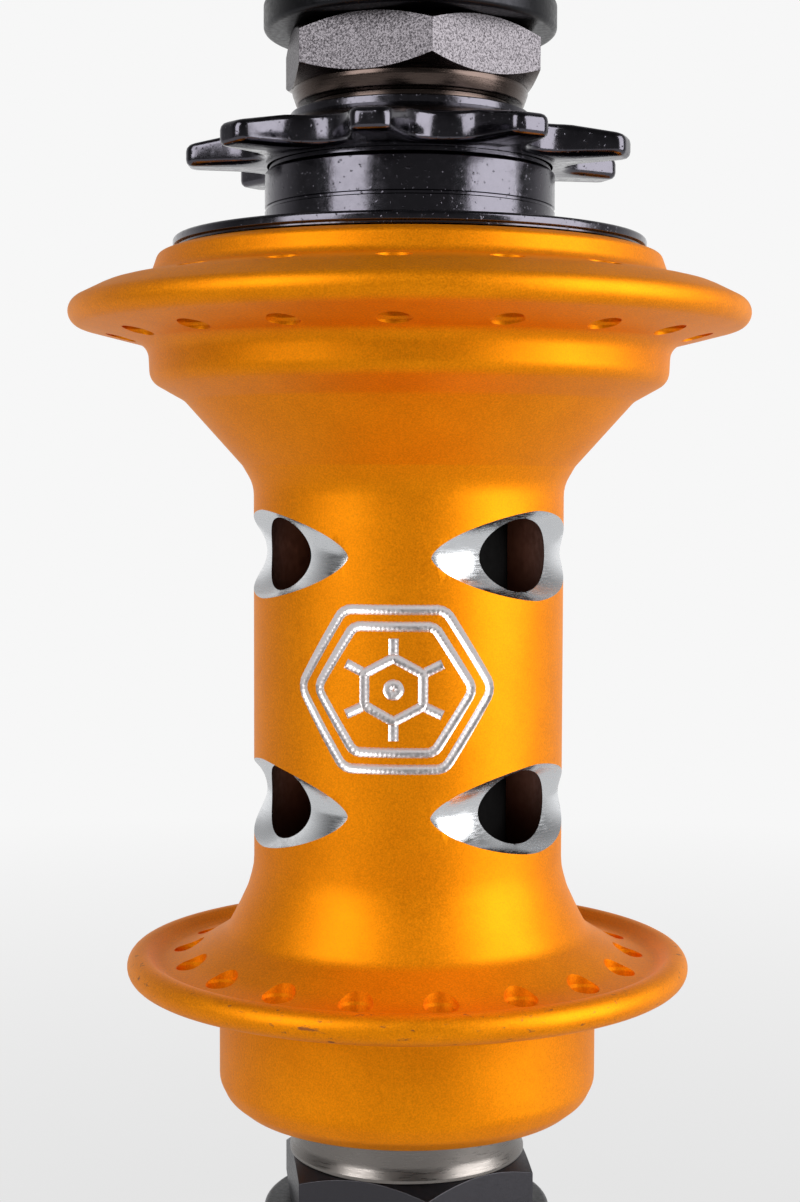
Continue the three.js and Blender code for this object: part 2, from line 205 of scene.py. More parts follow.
# %% Uneven dye
CLOUD = 4.0
middle = add(orange_anodised, "TexCoord").outputs["Object"]
clouds = add(orange_anodised, "TexNoise", {"Vector": middle, "Scale": per(CLOUD), "Detail": 3,
                                           "Roughness": 0.6})
mottle = add(orange_anodised, "Mix", {"Factor": 0.8, "A": clouds, "B": dents}, data_type="FLOAT")
contrast = add(orange_anodised, "MapRange", {"Value": mottle, "From Min": 0.36, "From Max": 0.64})
dye = add(orange_anodised, "Mix", {"Factor": contrast, "A": linear("#e08004"),
                                   "B": linear("#fb990a")}, data_type="RGBA")
print("dye clouds (mm):", CLOUD)

# %% [markdown]
# The rim of the small flange has been knocked a few times: the oxide is rubbed through to a dull
# brown there. The marks could be painted by hand. A noise that only counts where the distance
# from the axis and the height are those of the rim puts them in the right place by itself.

# %% Scuffs on the small rim
RIM_REACH, RIM_BAND = 26.0, 0.6  # how far from the axis the marks sit, give or take
LOW_END = 25  # only the small flange lies this far below the middle
SCUFF = 1.3
flat = add(orange_anodised, "VectorMath", {0: middle, 1: (1, 1, 0)}, operation="MULTIPLY")
across = add(orange_anodised, "VectorMath", {0: flat}, operation="LENGTH")
on_rim = add(orange_anodised, "Math", {0: across, 1: RIM_REACH * MM, 2: RIM_BAND * MM},
             operation="COMPARE")
up = add(orange_anodised, "SeparateXYZ", {"Vector": middle}).outputs["Z"]
low_down = add(orange_anodised, "Math", {0: up, 1: MIDDLE - LOW_END * MM}, operation="LESS_THAN")
long_way = add(orange_anodised, "Mapping", {"Vector": middle, "Scale": (1, 1, 2.5)})
rubs = add(orange_anodised, "TexNoise", {"Vector": long_way, "Scale": per(SCUFF), "Detail": 5,
                                         "Roughness": 0.6})
peaks = add(orange_anodised, "MapRange", {"Value": rubs, "From Min": 0.62, "From Max": 0.7,
                                          "To Max": 0.8})
rubbed = add(orange_anodised, "Math", {0: on_rim, 1: low_down}, operation="MULTIPLY")
scuffed = add(orange_anodised, "Math", {0: rubbed, 1: peaks}, operation="MULTIPLY")
worn = add(orange_anodised, "Mix", {"Factor": scuffed, "A": dye, "B": linear("#7c4a34")},
           data_type="RGBA")
plug(orange_anodised, orange_shader, {"Base Color": worn})
print("orange nodes:", len(orange_anodised.node_tree.nodes))

# %% [markdown]
# The windows and the engraving are cut after anodising, so the cutter's path shows as bare,
# bright aluminium. The tool leaves fine lines that run level round the part, and a window
# mirrors the room in streaks. The real lines are finer than the 0.12 mm drawn here.
#
# The engraving is bare aluminium too, but a small ball tool leaves it rougher than the windows.
# So its lines look evenly pale from every side. The tool's chatter is drawn at 0.3 mm, again
# coarser than real.

# %% Bare aluminium
milled = grained("bright milled aluminium", "#dfe1e4", 1.0, (0.16, 0.34), 1.2, squeeze=10,
                 dent=0.012, strength=0.4)[0]
engraved = grained("ball-engraved aluminium", "#ece6e6", 1.0, (0.32, 0.46), 0.3, detail=2)[0]

# %% [markdown]
# The driver is steel with a glossy black coat over a slightly wavy surface. Small pits in it
# catch the light as specks. The pits are a noise that is cut off high, so only its rare peaks
# dent the surface.

# %% Gloss black driver
PIT = 0.35
gloss_black, shader, waves = grained("gloss black plated steel", "#56545b", 1.0, (0.12, 0.24), 0.7)
spots = add(gloss_black, "TexNoise", {
    "Vector": add(gloss_black, "TexCoord").outputs["Object"], "Scale": per(PIT), "Detail": 1,
    "Roughness": 0.6})
pits = add(gloss_black, "MapRange", {"Value": spots, "From Min": 0.68, "From Max": 0.8})
low_waves = add(gloss_black, "MapRange", {"Value": waves, "To Max": 0.35})
uneven = add(gloss_black, "Math", {0: pits, 1: low_waves}, operation="ADD")
plug(gloss_black, shader, {"Normal": add(gloss_black, "Bump", {
    "Height": uneven, "Distance": 0.06 * MM, "Strength": 0.45})})

# %% [markdown]
# The cone nuts are forged and then oxidised dark. Their flats are grey and grainy with black
# specks, while the chamfers and the collar were turned and are browner and smoother. The specks
# are darker, rougher and a little sunk, so one noise drives colour, gloss and dents together.

# %% Oxidised nut steel
SPECK = 0.17
nut_flat, shader = finish("oxidised steel, forged flats", "#77737a", 1.0, 0.5)
forging = add(nut_flat, "TexNoise", {
    "Vector": add(nut_flat, "TexCoord").outputs["Object"], "Scale": per(SPECK), "Detail": 4,
    "Roughness": 0.6})
specks = add(nut_flat, "MapRange", {"Value": forging, "From Min": 0.45, "From Max": 0.72})
plug(nut_flat, shader, {
    "Base Color": add(nut_flat, "Mix", {"Factor": specks, "A": linear("#747074"),
                                        "B": linear("#3a373b")}, data_type="RGBA"),
    "Roughness": add(nut_flat, "MapRange", {"Value": specks, "To Min": 0.42, "To Max": 0.62}),
    "Normal": add(nut_flat, "Bump", {"Height": specks, "Distance": 0.02 * MM, "Strength": 0.5})})
nut_turned = grained("oxidised steel, turned faces", "#564a45", 1.0, (0.18, 0.32), 1.5, detail=2,
                     squeeze=12, dent=0.015, strength=0.5)[0]

# %% [markdown]
# The remaining finishes are simpler, and each gets only a grain, because no real surface is
# perfectly even: bright turned steel shows tool lines, black oxide is satin and dark, ground
# steel is nearly a mirror, spring steel is smooth and bluish, and nitrile rubber is matt. The
# sleeves sit in the dark and are drawn near-black with almost no shine, as painted shade. The
# shell's bore is a darker brown: it took little dye, and the rest is painted shade inside the hub.

# %% Other finishes
turned_steel = grained("bright turned steel", "#827d79", 1.0, (0.22, 0.42), 1.6, squeeze=14,
                       dent=0.02, strength=0.5)[0]
black_washer = grained("satin black washer steel", "#2c2c2f", 1.0, (0.28, 0.44), 0.4,
                       dent=0.01)[0]
nut_black = grained("black oxide on forged steel", "#454448", 1.0, (0.3, 0.5), 0.25,
                    dent=0.012)[0]
black_oxide = grained("black oxide steel", "#333236", 1.0, (0.3, 0.5), 0.5, dent=0.01)[0]
dark_steel = grained("hardened dark steel", "#56545a", 1.0, (0.3, 0.5), 0.8)[0]
ground_steel = grained("ground bearing steel", "#c3c4c8", 1.0, (0.11, 0.21), 0.8)[0]
spring_steel = grained("spring steel", "#9aa0a8", 1.0, (0.22, 0.38), 0.6)[0]
seal_rubber = grained("nitrile seal rubber", "#1b1b1c", 0.0, (0.5, 0.7), 0.3, dent=0.01)[0]
# The bore's darker brown is partly its thin dye and partly painted shade inside the hub.
bore_dye_and_painted_shade = grained("bore, thin dye and painted shade", "#743408", 0.8, (0.42, 0.58), 0.7)[0]
# The sleeves are near-black with almost no shine: painted shade inside the hub.
sleeve_painted_shade, shader = grained("sleeve aluminium, near-black as painted shade", "#050404", 0.0,
                               (0.64, 0.8), 0.7)[:2]
plug(sleeve_painted_shade, shader, {"Specular IOR Level": 0.06})
print(len(bpy.data.materials), "materials")

# %% [markdown]
# ## Making surfaces
# Nearly everything here is turned on a lathe, so it could be a curve with a Screw modifier. A
# list of corners is more use, because it can be measured and changed in one place. Each corner
# is a radius, a height and a fillet: `rounded` swaps the corner for the arc that a tool leaves.

# %% Outline helpers
def rounded(corners):
    """A closed outline of (radius, height, fillet) corners as plain (radius, height) points."""
    points = []
    for i, (x, y, fillet) in enumerate(corners):
        here = Vector((x, y))
        before = Vector(corners[i - 1][:2]) - here
        after = Vector(corners[(i + 1) % len(corners)][:2]) - here
        if fillet == 0:
            points.append((x, y))
            continue
        opening = before.angle(after)
        back = fillet / math.tan(opening / 2)
        centre = here + (before.normalized() + after.normalized()).normalized() * (
            fillet / math.sin(opening / 2))
        start = here + before.normalized() * back - centre
        turn = start.angle_signed(here + after.normalized() * back - centre)
        steps = max(2, math.ceil(abs(turn) / math.radians(10)))
        for k in range(steps + 1):
            angle = -turn * k / steps
            points.append((centre.x + start.x * math.cos(angle) - start.y * math.sin(angle),
                           centre.y + start.x * math.sin(angle) + start.y * math.cos(angle)))
    return points


def arc(centre, radius, start, end, steps):
    """Points of an arc, in degrees, as corners that need no fillet."""
    angles = [math.radians(start + (end - start) * k / steps) for k in range(steps + 1)]
    return [(centre[0] + radius * math.cos(a), centre[1] + radius * math.sin(a), 0)
            for a in angles]


def spaced(points, step):
    """Adds points so that no side of a closed outline is longer than `step`."""
    result = []
    for i, (x, y) in enumerate(points):
        next_x, next_y = points[(i + 1) % len(points)]
        parts = max(1, math.ceil(math.hypot(next_x - x, next_y - y) / step))
        result += [(x + (next_x - x) * k / parts, y + (next_y - y) * k / parts)
                   for k in range(parts)]
    return result


print("a 1 mm fillet is", len(rounded([(0, 0, 1), (5, 0, 0), (5, 5, 0)])) - 2, "points")

# %% [markdown]
# A surface is then a stack of rings with equal numbers of points, joined by four-sided faces.
# The same small function makes turned pieces, the sprocket, the threaded axle and the cutters.
# A stack that closes on itself is a tube; one that doesn't gets flat caps.

# %% Skin helpers
def smooth(mesh, sharp=32):
    mesh.polygons.foreach_set("use_smooth", [True] * len(mesh.polygons))
    mesh.set_sharp_from_angle(angle=math.radians(sharp))


def skin(name, rings, material, capped=False, sharp=32):
    """Joins rings with equal numbers of points: into a closed tube, or one with flat caps."""
    count = len(rings[0])
    vertices = [p for ring in rings for p in ring]
    faces = []
    for r in range(len(rings) - 1 if capped else len(rings)):
        low, high = r * count, (r + 1) % len(rings) * count
        faces += [(low + k, low + (k + 1) % count, high + (k + 1) % count, high + k)
                  for k in range(count)]
    if capped:
        faces += [tuple(reversed(range(count))),
                  tuple(range((len(rings) - 1) * count, len(rings) * count))]
    mesh = bpy.data.meshes.new(name)
    mesh.from_pydata(vertices, [], faces)
    mesh.materials.append(material)
    volume = sum(vertices[f[0]].dot(vertices[a].cross(vertices[b]))
                 for f in faces for a, b in zip(f[1:], f[2:]))
    if volume < 0:
        mesh.flip_normals()
    smooth(mesh, sharp)
    return placed(name, mesh)


def placed(name, mesh):
    piece = bpy.data.objects.new(name.replace(" ", "_"), mesh)
    bpy.context.collection.objects.link(piece)
    return piece


FINE = 192  # points round a piece that is seen from close by
ROUND = 72  # points round one that is mostly hidden


def turned(name, corners, material, around=FINE, step=3.0):
    """A piece made on the lathe from a closed outline of (radius, height, fillet) corners."""
    outline = spaced(rounded(corners), step)
    rings = [[point(r, FULL_TURN * k / around, h) for k in range(around)] for r, h in outline]
    return skin(name, rings, material)


print("one facet of the waist is", round(FULL_TURN * 14.5 / FINE, 2), "mm wide")

# %% [markdown]
# Holes and engraving are cut with booleans. Blender's manifold solver is quick and exact, and
# when material mode is "transfer" a cut face keeps the cutter's material, which is just
# what happens when a milling tool goes through an anodised skin.

# %% Cutting helpers
def applied(piece):
    """Turns what the piece's modifiers make into its own mesh."""
    graph = bpy.context.evaluated_depsgraph_get()
    shape = bpy.data.meshes.new_from_object(piece.evaluated_get(graph))
    piece.modifiers.clear()
    piece.data = shape


def cut(piece, cutter, operation="DIFFERENCE"):
    """Cuts one piece with another and throws the cutter away."""
    modifier = piece.modifiers.new("cut", "BOOLEAN")
    modifier.operation = operation
    modifier.object = cutter
    modifier.solver = "MANIFOLD"
    modifier.material_mode = "TRANSFER"
    applied(piece)
    smooth(piece.data)
    bpy.data.objects.remove(cutter)
    print(f"{piece.name} after the cut: {len(piece.data.polygons)} faces")


def joined(name, parts):
    """One object from several separate ones, for a single cut."""
    mesh = bpy.data.meshes.new(name)
    vertices, faces = [], []
    for part in parts:
        offset = len(vertices)
        vertices += [v.co.copy() for v in part.data.vertices]
        faces += [tuple(offset + i for i in p.vertices) for p in part.data.polygons]
    mesh.from_pydata(vertices, [], faces)
    mesh.materials.append(parts[0].data.materials[0])
    for part in parts:
        bpy.data.objects.remove(part)
    return placed(name, mesh)


def fit(piece, body, slot, *replaced):
    """Lets a finished piece ride on its body and stand for the CAD pieces it was made from."""
    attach(piece, body)
    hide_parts(*replaced)
    print(f"{piece.name}: {len(piece.data.polygons)} faces, rides on {body}")


print("Blender", bpy.app.version_string, "has the manifold solver:", bpy.app.version >= (4, 5, 0))

# %% [markdown]
# ## The hub shell
# The shell is one turned piece: a straight waist, a concave flare down to the small flange with
# its rolled rim, a long cup below it for the bearing, and on the drive side a cone, two
# steps and the large flange. The outline runs up the outside and back down the bores. It has
# more than two dozen corners, so it is easier to read as a list than as a drawn curve.

# %% Shell blank
BODY = 14.55
BORE = 12.9
SEAT = 14.12
DRIVE_BORE = 21.45
DRIVE_SEAT, DRIVE_STOP, PLAIN_STOP = 23.2, 14.2, -37.0
SHELL_LOW, SHELL_HIGH = reach("hub_shell")[2:]
rim_low = arc((25.13, -31.74), 1.36, -100, 115, 18)
rim_high = arc((30.21, 29.09), 1.39, -75.4, 60, 14)
shell = turned("shell", [
    (SEAT, SHELL_LOW, 0.3), (15.9, SHELL_LOW, 0.4), (17.15, -44.1, 1.6), (17.83, -42.7, 2.0),
    (17.83, -35.4, 0.8), (18.4, -33.9, 0.9), (20.0, -33.0, 0.8), *rim_low,
    (23.6, -31.45, 1.2), (20.8, -30.85, 5.0), (17.1, -28.5, 2.6), (15.94, -26.26, 3.0),
    (15.16, -24.6, 4.0), (BODY, -22.5, 6.0), (BODY, 13.3, 3.5), (15.6, 15.1, 0.12),
    (20.98, 21.08, 1.5), (24.15, 22.85, 1.6), (24.3, 26.16, 1.6), *rim_high,
    (28.4, 31.55, 5.0), (24.1, 32.4, 1.3), (23.4, 34.4, 0.7), (22.3, SHELL_HIGH, 0.2),
    (DRIVE_BORE, SHELL_HIGH, 0.1), (DRIVE_BORE, DRIVE_SEAT, 0), (SEAT, DRIVE_SEAT, 0),
    (SEAT, DRIVE_STOP, 0), (BORE, DRIVE_STOP, 0), (BORE, PLAIN_STOP, 0), (SEAT, PLAIN_STOP, 0),
], orange_anodised, step=1.6)
# The bore's faces take that darker brown, which is partly painted shade inside the hub.
shell.data.materials.append(bore_dye_and_painted_shade)
for side in shell.data.polygons:
    if math.hypot(side.center.x, side.center.y) < (BORE + 0.02) * MM:
        side.material_index = 1
print("shell height (mm):", round(SHELL_HIGH - SHELL_LOW, 2))

# %% [markdown]
# Six windows lighten the waist, in two rows of three. A ball-nosed tool leaves an almond-shaped
# mouth that narrows to a smaller, rounder hole at the bore, so the cutter is a stack of
# superellipses that shrink as they go in. It is made of bare aluminium for the cut faces.

# %% Window cutter
ALMOND = 1.6  # superellipse exponent at the mouth: 2 is an ellipse, 1 a diamond
MOUTH_ANGLE, MOUTH_HEIGHT = 45.4, 4.05  # half of each, in degrees and millimetres


def window_ring(radius, azimuth, height):
    """One ring of the cutter: an almond at the mouth, smaller and rounder further in."""
    inward = (BODY - max(radius, BORE)) / (BODY - BORE)
    if inward > 0:
        half_angle = MOUTH_ANGLE - 21.1 * inward ** 0.9
        half_height = MOUTH_HEIGHT - 0.72 * inward ** 1.5
    else:  # beyond the mouth the cutter keeps opening
        half_angle = MOUTH_ANGLE - 11 * inward
        half_height = MOUTH_HEIGHT - 0.5 * inward
    power = 2 / (ALMOND + 0.3 * max(0, inward))
    ring = []
    for k in range(96):
        c, s = math.cos(FULL_TURN * k / 96), math.sin(FULL_TURN * k / 96)
        across = math.copysign(abs(c) ** power, c) * math.radians(half_angle)
        along = math.copysign(abs(s) ** power, s) * half_height
        ring.append(point(radius, azimuth + across, height + along))
    return ring


print("window mouth (mm):", round(2 * math.radians(MOUTH_ANGLE) * BODY, 1), "by", 2 * MOUTH_HEIGHT)

# %% [markdown]
# The cutter's outer end is flat, so it has to stand well clear of the round waist, or it would
# leave a web between the window's corners. One last ring is pushed far out for that.

# %% Windows
WINDOW_ROWS = (7.0, -15.9)
WINDOW_AZIMUTH = 53
OUTSIDE = 26
depths = [10.5, 12.0, BORE, 13.1, 13.4, 13.7, 14.0, 14.3, BODY, 15.2]
windows = []
for height in WINDOW_ROWS:
    for i in range(3):
        azimuth = math.radians(WINDOW_AZIMUTH + 120 * i)
        rings = [window_ring(r, azimuth, height) for r in depths]
        rings.append([Vector((p.x * OUTSIDE / depths[-1], p.y * OUTSIDE / depths[-1], p.z))
                      for p in rings[-1]])
        windows.append(skin("window", rings, milled, capped=True))
print("windows:", len(windows))
cut(shell, joined("windows", windows))

# %% [markdown]
# Each flange has eighteen spoke holes, lightly countersunk on both faces so that a spoke's elbow
# beds without a sharp edge. The drill bits are thin turned shapes set on the pitch circle.

# %% Spoke holes
HOLE = 1.3
SINK = 0.25
SPOKES = 18
LARGE_FLANGE = (26.9, math.radians(-2.9), 26.75, 31.9)  # circle, first hole, lower and upper face
SMALL_FLANGE = (21.03, math.radians(7.7), -33.0, -30.95)


def drill(circle, azimuth, low, high):
    """A bit of radius HOLE with a countersink at both faces of the flange."""
    centre = point(circle, azimuth, 0)
    profile = [(HOLE + SINK, low - 1.5), (HOLE + SINK, low), (HOLE, low + SINK),
               (HOLE, high - SINK), (HOLE + SINK, high), (HOLE + SINK, high + 1.5)]
    rings = []
    for r, h in profile:
        rings.append([Vector((centre.x + r * MM * math.cos(FULL_TURN * k / 28),
                              centre.y + r * MM * math.sin(FULL_TURN * k / 28),
                              MIDDLE + h * MM)) for k in range(28)])
    return skin("drill", rings, orange_anodised, capped=True)


drills = []
for i in range(SPOKES):
    for circle, first, low, high in (LARGE_FLANGE, SMALL_FLANGE):
        drills.append(drill(circle, first + FULL_TURN * i / SPOKES, low, high))
print("spoke holes:", len(drills))
cut(shell, joined("drills", drills))

# %% [markdown]
# The waist carries an engraved decoration, here a plain geometric one. Bump could fake it, but
# real grooves catch the light from every side. A ball cutter is swept along each line just
# above the surface, with the line wrapped round the waist. Its slight ripple is the tool
# stepping forward.

# %% Engraving cutter
MARK_AZIMUTH = math.radians(-5.3)
MARK_HEIGHT = -4.55
TOOL = 0.6
TOOL_CENTRE = 14.93
RIPPLE = 0.42  # mm between tool steps, drawn coarser than real so that it shows


def groove(name, path, closed):
    """Sweeps the ball cutter along a path that is wrapped round the waist."""
    fine = spaced(path, 0.14)
    if not closed:
        last = max(range(len(fine)), key=lambda k: math.dist(fine[k], path[0]))
        fine = fine[:last + 1]
    rings, run = [], 0.0
    for k, (x, z) in enumerate(fine):
        before = fine[k - 1] if closed or k else fine[k]
        after = fine[(k + 1) % len(fine)] if closed or k + 1 < len(fine) else fine[k]
        run += math.dist(fine[k - 1], fine[k]) if k else 0
        heading = Vector((after[0] - before[0], after[1] - before[1])).normalized()
        radius = TOOL * (1 + 0.02 * math.cos(FULL_TURN * run / RIPPLE))
        ring = []
        for j in range(12):
            side = radius * math.cos(FULL_TURN * j / 12)
            out = radius * math.sin(FULL_TURN * j / 12)
            across, up = x - side * heading.y, z + side * heading.x
            ring.append(point(TOOL_CENTRE + out, MARK_AZIMUTH + across / BODY, MARK_HEIGHT + up))
        rings.append(ring)
    return skin(name, rings, engraved, capped=not closed)


print("groove depth (mm):", round(BODY - TOOL_CENTRE + TOOL, 2))

# %% [markdown]
# The design is two hexagons, one in the other, round a small hexagon with six short spokes and
# a centre dimple. Lines that touch can't share one clean cutter, so the spokes and the dimple
# are cut in a second pass.

# %% Engraving
def hexagon_path(across, tall, turn=0.0):
    """A hexagon with slightly rounded corners as (x, z) points in the mark's plane."""
    corners = [(across / 2 * math.cos(a), tall / 2 * math.sin(a), across * 0.08)
               for a in (turn + FULL_TURN * k / 6 for k in range(6))]
    return rounded(corners)


hexagons = [groove("outer line", hexagon_path(18.2, 16.2), True),
            groove("inner line", hexagon_path(14.4, 12.8), True),
            groove("core line", hexagon_path(6.0, 5.6, math.pi / 6), True)]
cut(shell, joined("hexagons", hexagons))
strokes = []
for k in range(6):
    a = FULL_TURN * (k + 0.5) / 6
    ends = [(3.3 * math.cos(a), 3.1 * math.sin(a)), (5.0 * math.cos(a), 4.5 * math.sin(a))]
    strokes.append(groove("spoke line", ends, False))
strokes.append(groove("dimple", [(x, z) for x, z, _ in arc((0, 0), 0.5, 0, 330, 11)], True))
cut(shell, joined("spoke lines", strokes))
fit(shell, "shell", "anodised_shell", "hub_shell")

# %% [markdown]
# ## The driver
# The driver is the nine-tooth sprocket, its tube and the pawl carrier in one piece. The tube and
# the carrier are turned, with two thin grooves near the top of the tube.

# %% Driver tube and carrier
DRIVER_BORE, CARRIER_BORE = 9.75, 12.12
LIP_TOP = reach("driver")[3]
driver = turned("driver", [
    (CARRIER_BORE, 24, 0), (17, 24, 0.3), (17, 34, 0.3), (13.5, 34, 0.2), (13.5, 38.55, 0),
    (13.38, 38.65, 0), (13.38, 38.85, 0), (13.5, 38.95, 0), (13.5, 42.0, 0.2), (13.1, 42.35, 0.1),
    (13.1, 44.5, 0), (13.6, 45.7, 0.2), (11.45, 46.8, 0.2), (11.15, 46.9, 0.05),
    (11.15, LIP_TOP, 0.2), (DRIVER_BORE, LIP_TOP, 0.2), (DRIVER_BORE, 45.5, 0),
    (CARRIER_BORE, 45.5, 0),
], gloss_black, step=2.5)
print("driver top (mm):", round(LIP_TOP, 2))

# %% [markdown]
# Four pockets are milled into the carrier, so that the pawls have room to swing. Each has a
# round socket for the pawl's heel and a room for the rest. They are drawn in the pawl's own
# frame, where the numbers are simple, and then turned to its place on the carrier.

# %% Pawl pockets
POCKET_LOW, POCKET_HIGH = 23.0, 33.6


def on_circle(radius, degrees):
    return Vector((radius * math.cos(math.radians(degrees)),
                   radius * math.sin(math.radians(degrees))))


HINGE = on_circle(14.6, 24)
along = (on_circle(18, 3.4) - HINGE).normalized()


def pocket_wall(outline, quarter):
    """A pocket cutter from an outline in a pawl's own frame: x to its tip, y outwards."""
    turn = quarter * math.pi / 2
    spots = []
    for x, y in outline:
        flat = HINGE + along * x + Vector((-along.y, along.x)) * y
        spots.append((flat.x * math.cos(turn) - flat.y * math.sin(turn),
                      flat.x * math.sin(turn) + flat.y * math.cos(turn)))
    rings = [[Vector((x * MM, y * MM, MIDDLE + h * MM)) for x, y in spots]
             for h in (POCKET_LOW, POCKET_HIGH)]
    return skin("pocket", rings, gloss_black, capped=True)


socket_outline = [(c[0], c[1]) for c in arc((0, 0), 1.6, 0, 345, 23)]
room_outline = [(0.3, 1.5), (0.3, -1.9), (3, -2.95), (7.4, -4), (7.4, 4), (2, 4)]
for outline in (socket_outline, room_outline):
    cut(driver, joined("pockets", [pocket_wall(outline, q) for q in range(4)]))

# %% [markdown]
# The sprocket takes a half-inch chain. Its outline alternates a roller seat, an arc centred on
# the pitch circle, with the tip of a tooth. An array of one tooth would leave seams; nine turns
# of one loop don't.

# %% Sprocket outline
TEETH = 9
CHAIN_PITCH = 12.7
PITCH_RADIUS = CHAIN_PITCH / (2 * math.sin(math.pi / TEETH))
ROLLER_SEAT = 3.95
TIP_RADIUS = 20.85
FIRST_TOOTH = -9.8


def sprocket_outline():
    """The tooth outline as (x, y) points, anticlockwise from above."""
    corners = []
    for tooth in range(TEETH):
        valley = math.radians(FIRST_TOOTH + 40 * (tooth + 0.5))
        middle = (PITCH_RADIUS * math.sin(valley), -PITCH_RADIUS * math.cos(valley))
        face = math.degrees(valley) - 90
        corners += arc(middle, ROLLER_SEAT, face + 242, face + 118, 14)
        for side in (-4.6, 4.6):
            tip = math.radians(face + 20 + side)
            corners.append((TIP_RADIUS * math.cos(tip), TIP_RADIUS * math.sin(tip), 1.15))
    return spaced(rounded(corners), 0.7)


print("pitch circle (mm):", round(2 * PITCH_RADIUS, 2))

# %% [markdown]
# Rings of that outline, drawn in by an edge radius at the bottom and the top, give crisp but not
# razor-sharp edges. The top face thins towards the tips, so its rings follow that slope. The
# last ring on each face is held inside a circle, where the flat of the cog meets the tube.

# %% Sprocket rings
COG_LOW, COG_HIGH, COG_EDGE = 42.75, 45.6, 44.7
SLOPE_FROM, SLOPE_RUN = 16, 4.8
EDGE = 0.6


def drawn_in(outline, distance):
    """Moves every point inwards, square to the outline."""
    moved = []
    for k, (x, y) in enumerate(outline):
        before, after = outline[k - 1], outline[(k + 1) % len(outline)]
        side = Vector((after[1] - before[1], before[0] - after[0])).normalized()
        moved.append((x - side.x * distance, y - side.y * distance))
    return moved


def held(outline, radius):
    """Pulls in every point beyond a radius, so the ring lies on the flat of the cog."""
    scales = [min(1, radius / math.hypot(x, y)) for x, y in outline]
    return [(x * s, y * s) for (x, y), s in zip(outline, scales)]


def cog_ring(outline, height=None, drop=0.0):
    """One ring of the sprocket. Without a height it lies `drop` below the sloping top face."""
    ring = []
    for x, y in outline:
        slope = min(1, max(0, (math.hypot(x, y) - SLOPE_FROM) / SLOPE_RUN))
        z = COG_HIGH - slope * (COG_HIGH - COG_EDGE) if height is None else height
        ring.append(Vector((x * MM, y * MM, MIDDLE + z * MM - drop * MM)))
    return ring


print("sprocket thickness (mm):", round(COG_HIGH - COG_LOW, 2))

# %% [markdown]
# Now the rings are stacked. They run out along the bottom, round the lower edge, up the side,
# round the upper edge and back in over the top. The cog overlaps the tube a little, as one
# forging would, so no join shows.

# %% Sprocket
outline = sprocket_outline()
inner = held(drawn_in(outline, EDGE * 2), 13.3)
shoulder = held(drawn_in(outline, EDGE * 1.6), SLOPE_FROM)
bends = [math.radians(angle) for angle in (0, 30, 60, 90)]
lower_edge = [cog_ring(drawn_in(outline, EDGE * (1 - math.sin(bend))),
                       COG_LOW + EDGE * (1 - math.cos(bend))) for bend in bends]
upper_edge = [cog_ring(drawn_in(outline, EDGE * (1 - math.sin(bend))),
                       drop=EDGE * (1 - math.cos(bend))) for bend in reversed(bends)]
cog = skin("sprocket", [cog_ring(inner, COG_LOW), *lower_edge, *upper_edge,
                        cog_ring(shoulder), cog_ring(inner)], gloss_black, sharp=40)
fit(cog, "driver", "black_driver", "driver")
fit(driver, "driver", "black_driver", "driver")

# %% [markdown]
# ## Rings and discs
# The dust shield, washers, spacer, sleeves and races are all simple rings. Their sizes come
# straight from the CAD pieces that they replace; only the edge shapes are added here. A bevel
# modifier would do the edges too, but fillets in the outline cost nothing extra.

# %% Plain rings
def ring_like(node, body, slot, material, edge=0.25, around=FINE, outer=None):
    """A finer ring the size of a CAD piece, with `edge` mm radii or its own outer corners."""
    inside, outside, low, high = reach(node)
    wall = outer or [(outside, low, edge), (outside, high, edge)]
    piece = turned(node + " finish", [(inside, low, 0), *wall, (inside, high, 0)], material, around)
    fit(piece, body, slot, node)


SHIELD_NECK = 21.6
shield_rim, shield_low, shield_high = reach("driver_dust_shield")[1:]
ring_like("driver_dust_shield", "driver", "black_driver", gloss_black, outer=[
    (SHIELD_NECK, shield_low, 0.05), (SHIELD_NECK, shield_low + 0.2, 0.05),
    (shield_rim, shield_low + 0.25, 0.12), (shield_rim, shield_high, 0.4)])
for side in ("drive", "plain"):
    ring_like(side + "_axle_washer", "axle_set", "black_washer", black_washer, edge=0.55)
for name in ("centre_sleeve", "driver_stop_sleeve", "driver_bearing_sleeve"):
    ring_like(name, "axle_set", "sleeve_aluminium", sleeve_painted_shade, around=ROUND)
ring_like("pawl_retainer", "driver", "spring_steel", spring_steel, edge=0.1, around=ROUND)

# %% [markdown]
# The spacer under the shell is bright turned steel. Its lower end opens into a small lip, with
# fine tool lines that run round it. It is one more outline for the lathe.

# %% Plain-side spacer
SPACER_BORE, SPACER_NECK = 7.1, 9.3
spacer_low, spacer_high = reach("plain_spacer")[2:]
spacer = turned("plain spacer", [
    (SPACER_BORE, spacer_low, 0), (11.15, spacer_low, 0.12), (11.15, spacer_low + 0.35, 0.1),
    (10.82, -48.6, 1.5), (10.8, -47.0, 1.0), (10.8, -44.55, 0.15), (SPACER_NECK, -44.5, 0),
    (SPACER_NECK, spacer_high, 0), (SPACER_BORE, spacer_high, 0)], turned_steel, step=1.5)
fit(spacer, "axle_set", "machined_steel", "plain_spacer")

# %% [markdown]
# ## Nuts
# A hexagon nut is a six-sided bar whose ends are chamfered on the lathe. So each one is made the
# same way: the bar is cut by the turned shape that has both chamfers and the bore. The cut
# faces keep the turned finish, so the brown chamfers meet the grey flats in smooth curves.

# %% Nut helpers
NUT_TURN = math.radians(8.4)
NUT_BORE = 7.08
FACE_SHARE = 0.86  # how much of the corner radius the flat end face keeps
CHAMFER = math.radians(32)


def soften(piece, width):
    """A small bevel along the sharp edges, so that they catch the light."""
    modifier = piece.modifiers.new("soften", "BEVEL")
    modifier.width = width * MM
    modifier.segments = 2
    modifier.limit_method = "ANGLE"
    modifier.angle_limit = math.radians(25)
    modifier.harden_normals = True
    applied(piece)


